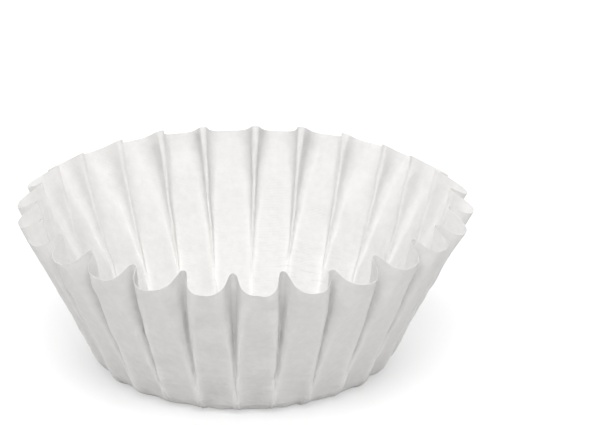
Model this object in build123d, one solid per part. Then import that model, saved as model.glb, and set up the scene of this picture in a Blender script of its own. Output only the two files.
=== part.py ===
from build123d import *
import math
import os

# A basket coffee filter: one round of crepe paper, pressed into a cup with a flat base and a fluted wall.
# Lengths are in millimetres and angles in degrees. The cup stands on its base, with its axis on Z.

# The round of paper
flat_diameter = 248.0  # 9 3/4 in across before it is pressed
paper_thickness = 0.15

# The pressed cup
base_diameter = 108.0  # 4 1/4 in, where the lines of base and wall would meet
base_bend_radius = 10.0  # of the soft bend from base to wall
wall_lean = 28.0  # of the ridges, from upright

# The flutes: ridges with grooves between them. A groove begins as a point on a corner of the wall, is a narrow pleat
# half way up and opens wide at the rim. Its place is measured up the wall from the top of the bend.
flute_count = 26
groove_rise = 34.0  # of the way that a groove goes in, up from level
groove_start = 6.0

pleat_place = 32.0
pleat_depth = 3.2
pleat_slope = 85.0  # of the groove's two sides, from the line of the wall
pleat_ridge_radius = 1.4  # of the fold where a ridge turns into the groove
pleat_groove_radius = 0.6  # of the fold along the bottom of the groove

rim_depth = 8.8
rim_slope = 72.0
rim_ridge_radius = 6.0
rim_groove_radius = 1.5

# Each bend and fold is made of straight bands of paper
base_bend_bands = 5
ridge_fold_bands = 6
groove_fold_bands = 8


def sin(angle):
    return math.sin(math.radians(angle))


def cos(angle):
    return math.cos(math.radians(angle))


def tan(angle):
    return math.tan(math.radians(angle))


pitch = 360 / flute_count
bend_turn = 90 - wall_lean
bend_setback = base_bend_radius * tan(bend_turn / 2)
flat_base_radius = base_diameter / 2 - bend_setback
wall_length = (flat_diameter - base_diameter) / 2 - bend_setback


def ring(turn, climb, inset, depth=0.0, slope=0.0, ridge_radius=0.0, groove_radius=0.0):
    """The points round one face of the paper, after this turn of the bend and this climb up the wall.

    Each flute is a fold into the groove, the bottom of the groove and a fold out. Where the groove has no depth they
    are all in one place, a corner of the wall. The inset is how far this face is from the outside of the cup.
    """
    bend_radius = base_bend_radius - inset
    radius = flat_base_radius + bend_radius * sin(turn) + climb * cos(turn)
    height = base_bend_radius - bend_radius * cos(turn) + climb * sin(turn)
    folds = ridge_radius + groove_radius
    side = (depth - folds * (1 - cos(slope))) / sin(slope) if depth else 0.0
    half_width = folds * sin(slope) + side * cos(slope)
    mouth = math.sqrt(radius**2 - half_width**2)

    def place(across, inward):
        return Vector(mouth - inward * cos(groove_rise), across, height + inward * sin(groove_rise))

    ridge = ridge_radius - inset
    groove = groove_radius + inset
    turns = [slope * k / ridge_fold_bands for k in range(ridge_fold_bands + 1)]
    swings = [slope * (2 * k / groove_fold_bands - 1) for k in range(groove_fold_bands + 1)]
    shoulder = [(half_width - ridge * sin(angle), ridge * (1 - cos(angle))) for angle in turns]
    bottom = [place(groove * sin(angle), depth - groove * (1 - cos(angle))) for angle in swings]
    fold_in = [place(-across, inward) for across, inward in shoulder]
    fold_out = [place(across, inward) for across, inward in reversed(shoulder)]
    flute = fold_in + bottom + fold_out
    return [point.rotate(Axis.Z, pitch * (k + 0.5)) for k in range(flute_count) for point in flute]


def paper_face(inset):
    """The rings of points on one face of the paper, from the edge of the flat base up to the rim."""
    bend = [ring(bend_turn * k / base_bend_bands, 0, inset) for k in range(base_bend_bands + 1)]
    start = ring(bend_turn, groove_start, inset)
    pleat = ring(bend_turn, pleat_place, inset, pleat_depth, pleat_slope, pleat_ridge_radius, pleat_groove_radius)
    rim = ring(bend_turn, wall_length, inset, rim_depth, rim_slope, rim_ridge_radius, rim_groove_radius)
    return bend + [start, pleat, rim]


def flat(points):
    """A flat face through these points, or none where they fall on a line."""
    corners = [point for k, point in enumerate(points) if (point - points[k - 1]).length > 1e-6]
    return [Face(Wire.make_polygon(corners))] if len(corners) > 2 else []


def strip(a, b, c, d):
    """The paper between four points: one flat face, or two that meet from a to c where it is twisted."""
    if abs((b - a).cross(d - a).dot(c - a)) < 1e-6:
        return flat([a, b, c, d])
    return flat([a, b, c]) + flat([a, c, d])


def band(low, high):
    """The strips from one ring of points to the next. Past the middle of a groove they mirror those before it."""
    flute_points = len(low) // flute_count
    strips = []
    for k in range(len(low)):
        if k % flute_points * 2 < flute_points:
            strips += strip(low[k - 1], low[k], high[k], high[k - 1])
        else:
            strips += strip(low[k], low[k - 1], high[k - 1], high[k])
    return strips


outside = paper_face(0)
inside = paper_face(paper_thickness)
faces = flat(outside[0]) + flat(inside[0]) + band(outside[-1], inside[-1])
for rings in (outside, inside):
    for low, high in zip(rings, rings[1:]):
        faces += band(low, high)
filter_cup = Solid(Shell(faces))

os.makedirs("parts", exist_ok=True)
export_step(filter_cup, "parts/filter_cup.step")
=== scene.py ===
import bpy
import math
import numpy as np
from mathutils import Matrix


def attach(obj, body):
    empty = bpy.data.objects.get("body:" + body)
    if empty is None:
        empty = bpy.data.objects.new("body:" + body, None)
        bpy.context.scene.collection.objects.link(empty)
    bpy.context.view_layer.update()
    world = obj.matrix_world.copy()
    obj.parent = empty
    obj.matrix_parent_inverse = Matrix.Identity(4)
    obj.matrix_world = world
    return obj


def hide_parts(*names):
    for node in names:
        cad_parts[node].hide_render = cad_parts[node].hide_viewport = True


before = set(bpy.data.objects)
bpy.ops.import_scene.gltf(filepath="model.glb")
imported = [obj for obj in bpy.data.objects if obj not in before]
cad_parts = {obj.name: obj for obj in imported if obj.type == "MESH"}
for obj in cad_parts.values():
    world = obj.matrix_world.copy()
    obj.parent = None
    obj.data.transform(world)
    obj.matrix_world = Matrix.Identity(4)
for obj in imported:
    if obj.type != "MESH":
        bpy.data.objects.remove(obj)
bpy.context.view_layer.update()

# The filter is one round of bleached crepe paper, 248 mm across, cut from the roll. It is drawn flat, ring by ring,
# with radial lines that stay with the folds, and then pressed between fluted dies into a cup.
# Lengths are in millimetres until the pressed paper is stored in metres.
flat_radius = 124.0
base_radius = 54.0  # where the lines of base and wall would meet
bend_radius = 10.0
lean = math.radians(28)  # of the wall, from upright
flutes = 26
paper_thickness = 0.15

pitch = 2 * math.pi / flutes
bend_turn = math.pi / 2 - lean
flat_base = base_radius - bend_radius * math.tan(bend_turn / 2)
bend_length = bend_radius * bend_turn
wall_length = flat_radius - base_radius - (base_radius - flat_base)
pressed_length = bend_length + wall_length

fold_steps = np.array([5, 3, 6, 4])  # lines in a groove's bottom, its side, the fold to the ridge and half a ridge
half_lines = int(fold_steps.sum())
lines = 2 * half_lines
base_rings = [10.0, 22.0, 34.0, 42.0]
bend_rings = np.linspace(flat_base, flat_base + bend_length, 9)
wall_rings = np.linspace(flat_base + bend_length, flat_base + pressed_length, 31)
rings = np.concatenate([base_rings, bend_rings, wall_rings[1:]])
bpy.ops.object.select_all(action="DESELECT")
bpy.ops.mesh.primitive_circle_add(vertices=flutes * lines, radius=rings[0], fill_type="NOTHING")
paper = bpy.context.object
paper.name = "filter_paper"
bpy.ops.object.mode_set(mode="EDIT")
bpy.ops.mesh.select_mode(type="EDGE")
bpy.ops.mesh.select_all(action="SELECT")
bpy.ops.mesh.edge_face_add()
bpy.ops.mesh.select_all(action="DESELECT")
bpy.ops.mesh.select_non_manifold()
for inner, outer in zip(rings, rings[1:]):
    bpy.ops.mesh.extrude_edges_move()
    bpy.ops.transform.resize(value=(outer / inner, outer / inner, 1), center_override=(0, 0, 0))
bpy.ops.object.mode_set(mode="OBJECT")

# A point of the paper belongs to the flute whose groove is nearest, and lies some steps from the middle of that groove
# to one hand of it.
drawn = np.empty(len(paper.data.vertices) * 3)
paper.data.vertices.foreach_get("co", drawn)
drawn = drawn.reshape(-1, 3)
reach = np.hypot(drawn[:, 0], drawn[:, 1])
around = np.arctan2(drawn[:, 1], drawn[:, 0]) / pitch
line = np.rint(around * lines).astype(int) % (flutes * lines)
before_ridge = line % lines <= half_lines
flute = np.where(before_ridge, line // lines, line // lines + 1) % flutes
step = np.where(before_ridge, line % lines, lines - line % lines)
hand = np.where(before_ridge, 1, -1)
angle = pitch * (line / lines + 0.5)

# The press bends the wall up round the base. The wall bows out a little, springs back at the rim, and ends up not quite
# round or level.
belly = 0.3
spring_back = 0.5
run = np.maximum(reach - flat_base, 0)  # along the paper, from the edge of the flat base
share = run / pressed_length
turn = bend_turn * np.minimum(run / bend_length, 1)
climb = np.maximum(run - bend_length, 0)
radius = np.minimum(reach, flat_base) + bend_radius * np.sin(turn) + climb * math.sin(lean)
height = bend_radius * (1 - np.cos(turn)) + climb * math.cos(lean)
radius += belly * np.sin(math.pi * share) - spring_back * share
for waves, swing, phase in ((3, 0.3, 2.0), (5, 0.4, 1.0)):
    radius += swing * share * np.sin(waves * angle + phase)
for waves, swing, phase in ((2, 0.4, 1.2), (7, 0.3, 0.0)):
    height += swing * share * np.sin(waves * angle + phase)

# It also folds a groove into each corner of the wall. A groove is a narrow pleat low down and opens towards the rim.
# No two come out alike in depth, in place, and in the height of their pinch and crease.
dice = np.random.default_rng(11)
deepness = (1 + dice.uniform(-0.10, 0.10, flutes))[flute]
wander = np.radians(dice.uniform(-0.8, 0.8, flutes))[flute]
pinch = dice.uniform(0.1, 0.4, flutes)[flute]
crease = dice.uniform(0.30, 0.60, flutes)[flute]
rise = math.radians(34)  # of the way that a groove goes in, up from level
groove_start = 3.0  # up the wall, from the top of the bend
rim_depth = 8.8
pleat_slope = math.radians(84)  # of a groove's two sides, from the line of the wall
rim_slope = math.radians(72)
low_ridge = 0.8  # radius of the fold where a ridge turns into the groove
rim_ridge = 6.0
low_groove = 0.4  # radius of the fold along the bottom of the groove
rim_groove = 1.5
least_sine = 1e-6  # for a groove that has not begun


def folds_at(opening):
    """Sizes of a groove that is open by this share, and the paper's length to the end of each of its four parts."""
    ridge = low_ridge + (rim_ridge - low_ridge) * opening**2
    groove = low_groove + (rim_groove - low_groove) * opening**3
    slope = pleat_slope * (1 - (1 - opening) ** 5) + (rim_slope - pleat_slope) * opening**3
    folds = (ridge + groove) * (1 - np.cos(slope))
    depth = np.maximum(rim_depth * deepness * opening**1.6, folds)
    side = (depth - folds) / np.maximum(np.sin(slope), least_sine)
    half_width = (ridge + groove) * np.sin(slope) + side * np.cos(slope)
    half_crown = pitch / 2 - np.arcsin(half_width / radius)
    ends = np.cumsum([0 * run, groove * slope, side, ridge * slope, radius * half_crown], axis=0)
    return ridge, groove, slope, depth, half_width, half_crown, ends


opening = np.clip((climb - groove_start) / (wall_length - groove_start), 0, 1)
ridge, groove, slope, depth, half_width, half_crown, ends = folds_at(opening)

# The lines of the mesh keep to the folds. Where a groove is small or has not begun they stay as close as in a larger
# one, and on the flat base they spread out evenly.
least_opening = 0.25
even_reach = 30.0
line_ends = folds_at(np.maximum(opening, least_opening))[-1]
first_steps = np.cumsum(fold_steps) - fold_steps
part = np.searchsorted(first_steps, step, side="right") - 1
point = np.arange(len(run))
in_part = (step - first_steps[part]) / fold_steps[part]
along = line_ends[part, point] + in_part * (line_ends[part + 1, point] - line_ends[part, point])
drawn_in = np.clip((reach - even_reach) / (flat_base - even_reach), 0, 1)
along = ends[4] * (drawn_in * along / line_ends[4] + (1 - drawn_in) * step / half_lines)

# The UV map keeps each point's place on the flat round.
flat_angle = pitch * (flute + 0.5 + hand * along / ends[4] / 2)
flat = np.stack([reach * np.cos(flat_angle), reach * np.sin(flat_angle)], axis=1)
uv = paper.data.uv_layers.new(name="flat_paper")
corner = np.empty(len(paper.data.loops), dtype=int)
paper.data.loops.foreach_get("vertex_index", corner)
uv.data.foreach_set("uv", (flat[corner] / (2 * flat_radius) + 0.5).ravel())

# From the middle of a groove the paper goes round its bottom, straight up its side, round the fold to the ridge and
# over the ridge's flat crown.
in_bottom = along < ends[1]
in_side = along < ends[2]
in_fold = along < ends[3]
groove_angle = along / groove
ridge_angle = slope - (along - ends[2]) / ridge
up_side = along - ends[1]
across = np.select(
    [in_bottom, in_side, in_fold],
    [
        groove * np.sin(groove_angle),
        groove * np.sin(slope) + up_side * np.cos(slope),
        half_width - ridge * np.sin(ridge_angle),
    ],
    half_width,
)
inward = np.select(
    [in_bottom, in_side, in_fold],
    [
        depth - groove * (1 - np.cos(groove_angle)),
        depth - groove * (1 - np.cos(slope)) - up_side * np.sin(slope),
        ridge * (1 - np.cos(ridge_angle)),
    ],
    0.0,
)
on_crown = np.where(in_fold, 0.0, (along - ends[3]) / radius)
straight = np.where(in_fold, 1.0, np.cos(half_crown) / np.cos(half_crown - on_crown))
straight = 1 + (straight - 1) * np.clip(run / bend_length, 0, 1)

# The small forms swell out of the paper: low down, a slight scallop and a pinch at each corner, then a bead along each
# fold, and towards the rim rounder crowns.
forms_start = 2.0  # along the paper, from the edge of the flat base
forms_full = 11.0
scallop = 0.6
scallop_end = 0.6  # share of a groove's opening
pinch_width = 2.0
rim_crease_width = 1.0
crease_spread = 0.8  # by which a crease is wider low down
crown_bulge = 0.9
up_from_base = np.clip((run - forms_start) / (forms_full - forms_start), 0, 1) ** 2
swell = scallop * np.cos(math.pi * along / ends[4]) + pinch * np.exp(-((along / pinch_width) ** 2))
swell *= up_from_base * np.clip(1 - opening / scallop_end, 0, 1) ** 3
crease_width = rim_crease_width + crease_spread * (1 - opening) ** 4
swell += crease * np.exp(-(((along - ends[3]) / crease_width) ** 2)) * up_from_base * (1 - opening)
to_ridge = np.clip((along - ends[2]) / (ends[4] - ends[2]), 0, 1)
swell += crown_bulge * opening**1.5 * np.sin(math.pi / 2 * to_ridge) ** 2

# The wall keeps some soft dents, and the bend some small ripples.
any_phase = 6.28
dent = 0.08
dent_lead = 20.0  # along the paper, until the dents have their full depth
for _ in range(10):
    waves_round = dice.integers(18, 60)
    waves_up = 2 * math.pi / dice.uniform(12, 34) * dice.choice([-1, 1])
    phase = dice.uniform(0, any_phase)
    swell += dent * np.clip(run / dent_lead, 0, 1) * np.sin(waves_round * angle + waves_up * run + phase)
ripple = 0.10
ripple_end = 16.0
on_bend = np.sin(math.pi * np.clip(run / ripple_end, 0, 1)) ** 2
for _ in range(6):
    waves_round = dice.integers(60, 130)
    phase = dice.uniform(0, any_phase)
    swell += ripple * on_bend * np.sin(waves_round * angle + phase)

# Low down, a painted highlight: the paper's colour is made lighter along the folds in place of light catching the
# creases, and an attribute tells the material where.
fold_highlight_width = 1.2
painted_fold_highlight = np.exp(-(((along - ends[3]) / fold_highlight_width) ** 2)) * up_from_base * (1 - opening) ** 2
paper.data.attributes.new("fold_highlight", "FLOAT", "POINT").data.foreach_set("value", painted_fold_highlight)

out = (np.sqrt(radius**2 - half_width**2) - inward * math.cos(rise)) * straight + swell * np.sin(turn)
sideways = across * hand * straight
turned = hand * on_crown + pitch * (flute + 0.5) + wander * share * np.cos(math.pi * along / ends[4] / 2) ** 2
pressed = np.stack(
    [
        out * np.cos(turned) - sideways * np.sin(turned),
        out * np.sin(turned) + sideways * np.cos(turned),
        height + inward * math.sin(rise) - swell * np.cos(turn),
    ],
    axis=1,
)
paper.data.vertices.foreach_set("co", (pressed / 1000).ravel())
paper.data.update()

# The drawn side is the outside of the cup, so the base faces down, and the paper's thickness goes inwards from it.
bpy.ops.object.mode_set(mode="EDIT")
bpy.ops.mesh.select_mode(type="FACE")
bpy.ops.mesh.select_all(action="SELECT")
bpy.ops.mesh.normals_make_consistent(inside=False)
bpy.ops.object.mode_set(mode="OBJECT")
if max(paper.data.polygons, key=lambda face: face.area).normal.z > 0:
    paper.data.flip_normals()
wall = paper.modifiers.new("thickness", "SOLIDIFY")
wall.thickness = paper_thickness / 1000
wall.offset = -1
bpy.ops.object.modifier_apply(modifier=wall.name)
bpy.ops.object.shade_smooth_by_angle(angle=math.radians(50))


def linear(code):
    """An sRGB hex colour as the linear red, green, blue and alpha that a socket takes."""
    shares = [int(code[k : k + 2], 16) / 255 for k in (1, 3, 5)]
    return [c / 12.92 if c <= 0.04045 else ((c + 0.055) / 1.055) ** 2.4 for c in shares] + [1.0]


def add_node(owner, kind, settings=None, sockets=None, links=None):
    """A node of a material or world, with its settings, its sockets' values and links from other nodes' outputs."""
    node = owner.node_tree.nodes.new(kind)
    for name, value in (settings or {}).items():
        setattr(node, name, value)
    for name, value in (sockets or {}).items():
        node.inputs[name].default_value = value
    for name, output in (links or {}).items():
        owner.node_tree.links.new(output, node.inputs[name])
    return node


# Bleached crepe filter paper: wet-laid wood fibre with no size or coating, so it is white, a little cloudy, matt all
# over and lets some light through. Crepe ridges run straight across the round. They are drawn coarser than the real
# ones, which are too fine for the picture. Low down the folds carry a painted highlight, a lighter colour along each
# crease, and the paper has small level crinkles.
cloud_size = 3.0
fibre_size = 0.9
crepe_pitch = 1.1
wave_pitch = 0.314  # from band to band of a wave texture at scale 1
crinkle_length = 8.0
crinkle_height = 1.8
light_through = 0.2
crepe = bpy.data.materials.new("bleached_crepe_paper")
crepe.use_nodes = True
crepe.node_tree.nodes.clear()
on_sheet = add_node(crepe, "ShaderNodeUVMap", {"uv_map": "flat_paper"})
in_mm = add_node(
    crepe,
    "ShaderNodeMapping",
    sockets={"Scale": (2 * flat_radius, 2 * flat_radius, 1)},
    links={"Vector": on_sheet.outputs["UV"]},
)
cloud = add_node(
    crepe,
    "ShaderNodeTexNoise",
    sockets={"Scale": 1 / cloud_size, "Detail": 4.0, "Roughness": 0.6},
    links={"Vector": in_mm.outputs["Vector"]},
)
tint = add_node(crepe, "ShaderNodeValToRGB", links={"Fac": cloud.outputs["Fac"]})
tint.color_ramp.elements[0].position = 0.3
tint.color_ramp.elements[0].color = linear("#eae9e8")
tint.color_ramp.elements[1].position = 0.7
tint.color_ramp.elements[1].color = linear("#f0efee")
fold_highlight = add_node(crepe, "ShaderNodeAttribute", {"attribute_name": "fold_highlight"})
factor, plain, highlit, mixed = 0, 6, 7, 2  # a colour mix's inputs and output
# Painted highlight: the fold mask mixes a lighter colour into the paper along the low folds.
white = add_node(
    crepe,
    "ShaderNodeMix",
    {"data_type": "RGBA"},
    {highlit: linear("#f9f8f7")},
    {factor: fold_highlight.outputs["Fac"], plain: tint.outputs["Color"]},
)
ridges = add_node(
    crepe,
    "ShaderNodeTexWave",
    {"wave_type": "BANDS", "bands_direction": "Y"},
    {"Scale": wave_pitch / crepe_pitch, "Distortion": 2.5, "Detail": 2.0, "Detail Scale": 1.5},
    {"Vector": in_mm.outputs["Vector"]},
)
fibre = add_node(
    crepe,
    "ShaderNodeTexNoise",
    sockets={"Scale": 1 / fibre_size, "Detail": 3.0},
    links={"Vector": in_mm.outputs["Vector"]},
)
crepe_bump = add_node(
    crepe,
    "ShaderNodeBump",
    sockets={"Strength": 0.2, "Distance": 0.0002},
    links={"Height": ridges.outputs["Fac"]},
)
fibre_bump = add_node(
    crepe,
    "ShaderNodeBump",
    sockets={"Strength": 0.15, "Distance": 0.0002},
    links={"Height": fibre.outputs["Fac"], "Normal": crepe_bump.outputs["Normal"]},
)
in_space = add_node(crepe, "ShaderNodeTexCoord")
squashed = add_node(
    crepe,
    "ShaderNodeMapping",
    sockets={"Scale": (1000 / crinkle_length, 1000 / crinkle_length, 1000 / crinkle_height)},
    links={"Vector": in_space.outputs["Object"]},
)
crinkle = add_node(
    crepe,
    "ShaderNodeTexNoise",
    sockets={"Scale": 1.0, "Detail": 2.0, "Distortion": 0.4},
    links={"Vector": squashed.outputs["Vector"]},
)
up = add_node(crepe, "ShaderNodeSeparateXYZ", links={"Vector": in_space.outputs["Object"]})
low_down = add_node(
    crepe,
    "ShaderNodeMapRange",
    sockets={"From Min": 0.004, "From Max": 0.040, "To Min": 1.0, "To Max": 0.15},
    links={"Value": up.outputs["Z"]},
)
low_crinkle = add_node(
    crepe,
    "ShaderNodeMath",
    {"operation": "MULTIPLY"},
    links={0: crinkle.outputs["Fac"], 1: low_down.outputs["Result"]},
)
crinkle_bump = add_node(
    crepe,
    "ShaderNodeBump",
    sockets={"Strength": 0.7, "Distance": 0.0008},
    links={"Height": low_crinkle.outputs["Value"], "Normal": fibre_bump.outputs["Normal"]},
)
face = add_node(
    crepe,
    "ShaderNodeBsdfPrincipled",
    sockets={"Roughness": 0.95, "IOR": 1.45, "Specular IOR Level": 0.15},
    links={"Base Color": white.outputs[mixed], "Normal": crinkle_bump.outputs["Normal"]},
)
glow = add_node(
    crepe,
    "ShaderNodeBsdfTranslucent",
    links={"Color": white.outputs[mixed], "Normal": crinkle_bump.outputs["Normal"]},
)
thin_paper = add_node(
    crepe,
    "ShaderNodeMixShader",
    sockets={"Fac": light_through},
    links={1: face.outputs["BSDF"], 2: glow.outputs["BSDF"]},
)
add_node(crepe, "ShaderNodeOutputMaterial", links={"Surface": thin_paper.outputs["Shader"]})
paper.data.materials.clear()
paper.data.materials.append(crepe)

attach(paper, "root")
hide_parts("filter_cup")

# The floor is a wide sweep of pale matt paper. It takes the cup's shadow, and a glow that only the camera sees makes
# it as white as the background.
camera_glow = 0.43
bpy.ops.object.select_all(action="DESELECT")
bpy.ops.mesh.primitive_circle_add(vertices=96, radius=9.0, fill_type="NGON")
floor = bpy.context.object
floor.name = "floor"
white_sweep = bpy.data.materials.new("white_sweep")
white_sweep.use_nodes = True
white_sweep.node_tree.nodes.clear()
ray = add_node(white_sweep, "ShaderNodeLightPath")
matt = add_node(white_sweep, "ShaderNodeBsdfDiffuse", sockets={"Color": linear("#cccccc")})
lift = add_node(
    white_sweep,
    "ShaderNodeMath",
    {"operation": "MULTIPLY"},
    {1: camera_glow},
    {0: ray.outputs["Is Camera Ray"]},
)
shine = add_node(white_sweep, "ShaderNodeEmission", links={"Strength": lift.outputs["Value"]})
both = add_node(white_sweep, "ShaderNodeAddShader", links={0: matt.outputs["BSDF"], 1: shine.outputs["Emission"]})
add_node(white_sweep, "ShaderNodeOutputMaterial", links={"Surface": both.outputs["Shader"]})
floor.data.materials.append(white_sweep)

# Soft studio light: an even white room, a wide lamp high in front of the cup and one behind it, a square lamp above,
# and a weak one low at each side, which brings out the folds. The room is pure white only to the camera.
room = bpy.data.worlds.new("white_room")
bpy.context.scene.world = room
room.use_nodes = True
room.node_tree.nodes.clear()
room_ray = add_node(room, "ShaderNodeLightPath")
room_level = add_node(
    room,
    "ShaderNodeMapRange",
    sockets={"To Min": 0.18, "To Max": 1.0},
    links={"Value": room_ray.outputs["Is Camera Ray"]},
)
room_light = add_node(
    room,
    "ShaderNodeBackground",
    sockets={"Color": linear("#ffffff")},
    links={"Strength": room_level.outputs["Result"]},
)
add_node(room, "ShaderNodeOutputWorld", links={"Surface": room_light.outputs["Background"]})

for name, place, width, drop, power in (
    ("front_softbox", (0.0, -1.35, 0.95), 1.8, 0.8, 10.0),
    ("back_softbox", (0.0, 1.35, 0.95), 1.8, 0.8, 15.0),
    ("overhead_softbox", (0.0, -0.5, 1.3), 1.0, 1.0, 15.0),
    ("left_softbox", (-1.35, -0.4, 0.25), 0.4, 0.3, 4.0),
    ("right_softbox", (1.35, -0.4, 0.25), 0.4, 0.3, 4.0),
):
    bpy.ops.object.light_add(type="AREA", location=place)
    lamp = bpy.context.object
    lamp.name = name
    lamp.data.shape = "RECTANGLE"
    lamp.data.size = width
    lamp.data.size_y = drop
    lamp.data.energy = power
    lamp.rotation_mode = "QUATERNION"
    lamp.rotation_quaternion = lamp.location.to_track_quat("Z", "Y")

# The camera stands well back with a long lens, and looks down over the rim and a little to the left.
look_down = math.radians(21.53)
look_left = math.radians(2.10)
bpy.ops.object.camera_add(location=(0.0723, -1.3787, 0.6043))
camera = bpy.context.object
camera.data.sensor_width = 36.0
camera.data.lens = 233.0
camera.data.clip_end = 50.0
camera.rotation_euler = (math.pi / 2 - look_down, 0, look_left)
bpy.context.scene.camera = camera
bpy.context.scene.view_settings.view_transform = "Standard"
